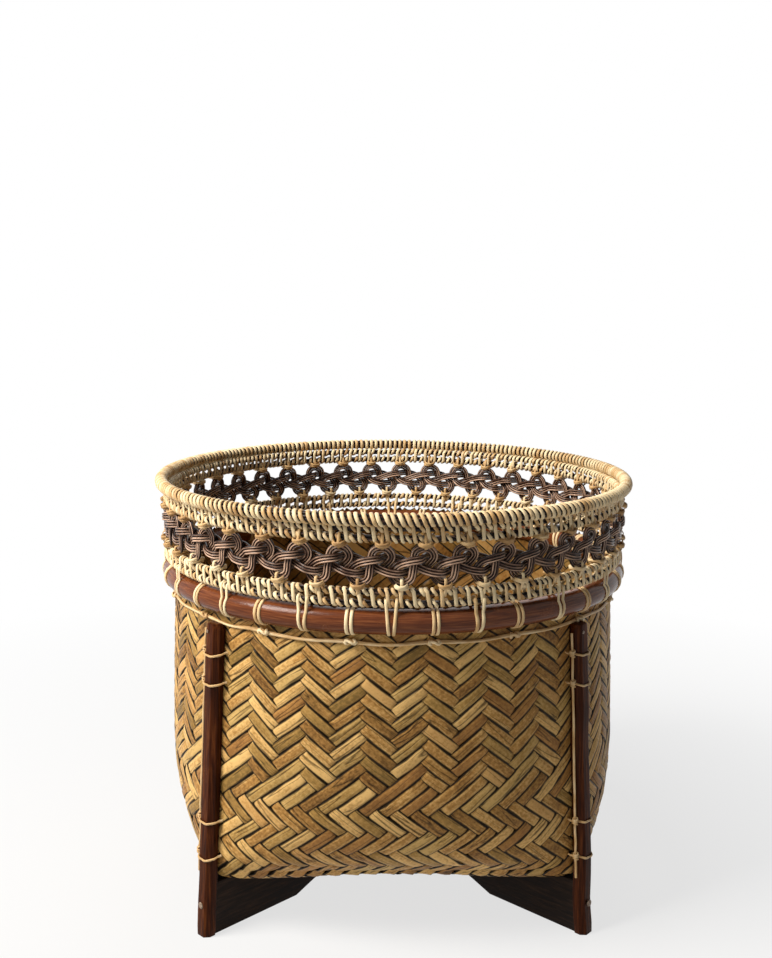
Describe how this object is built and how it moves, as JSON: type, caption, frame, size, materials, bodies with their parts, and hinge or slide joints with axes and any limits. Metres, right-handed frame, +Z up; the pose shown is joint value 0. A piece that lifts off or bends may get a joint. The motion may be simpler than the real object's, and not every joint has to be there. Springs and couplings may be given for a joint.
{
  "type": "footed basket",
  "caption": "Open basket with a round mouth and a square plaited base, an openwork cane braid under a bound rim, corner poles and crossed arched boards as feet.",
  "frame": {"origin": "centre of the footprint, on the floor that the basket stands on", "axes": "+Z up out of the mouth, -Y towards the front side that the picture shows, +X to the viewer's right; the poles stand on the diagonals"},
  "size_m": [0.3972, 0.3972, 0.3424],
  "materials": {
    "plait": "split bamboo strips, satin, golden brown with olive and orange strips",
    "hoop": "split cane, glossy reddish brown",
    "cane": "thin light cane, satin",
    "border": "dark cane cores bound with light cane, satin",
    "braid": "stained dark brown cane, satin",
    "pole": "stained reddish brown split pole, low gloss",
    "board": "very dark brown stained board, matt",
    "nail": "dull small nail heads"
  },
  "bodies": {
    "root": {"plaited_body": "plait", "outer_hoop": "hoop", "inner_hoop": "hoop", "lashing_cane": "cane", "lower_border_lower_ring": "border", "lower_border_upper_ring": "border", "upper_border_lower_ring": "border", "upper_border_upper_ring": "border", "rim": "border", "braid_strand_a": "braid", "braid_strand_b": "braid", "front_left_pole": "pole", "front_left_pole_lashing": "cane", "front_left_foot_nail": "nail", "front_right_pole": "pole", "front_right_pole_lashing": "cane", "front_right_foot_nail": "nail", "back_right_pole": "pole", "back_right_pole_lashing": "cane", "back_right_foot_nail": "nail", "back_left_pole": "pole", "back_left_pole_lashing": "cane", "back_left_foot_nail": "nail", "base_board_lower": "board", "base_board_upper": "board"}
  },
  "joints": []
}
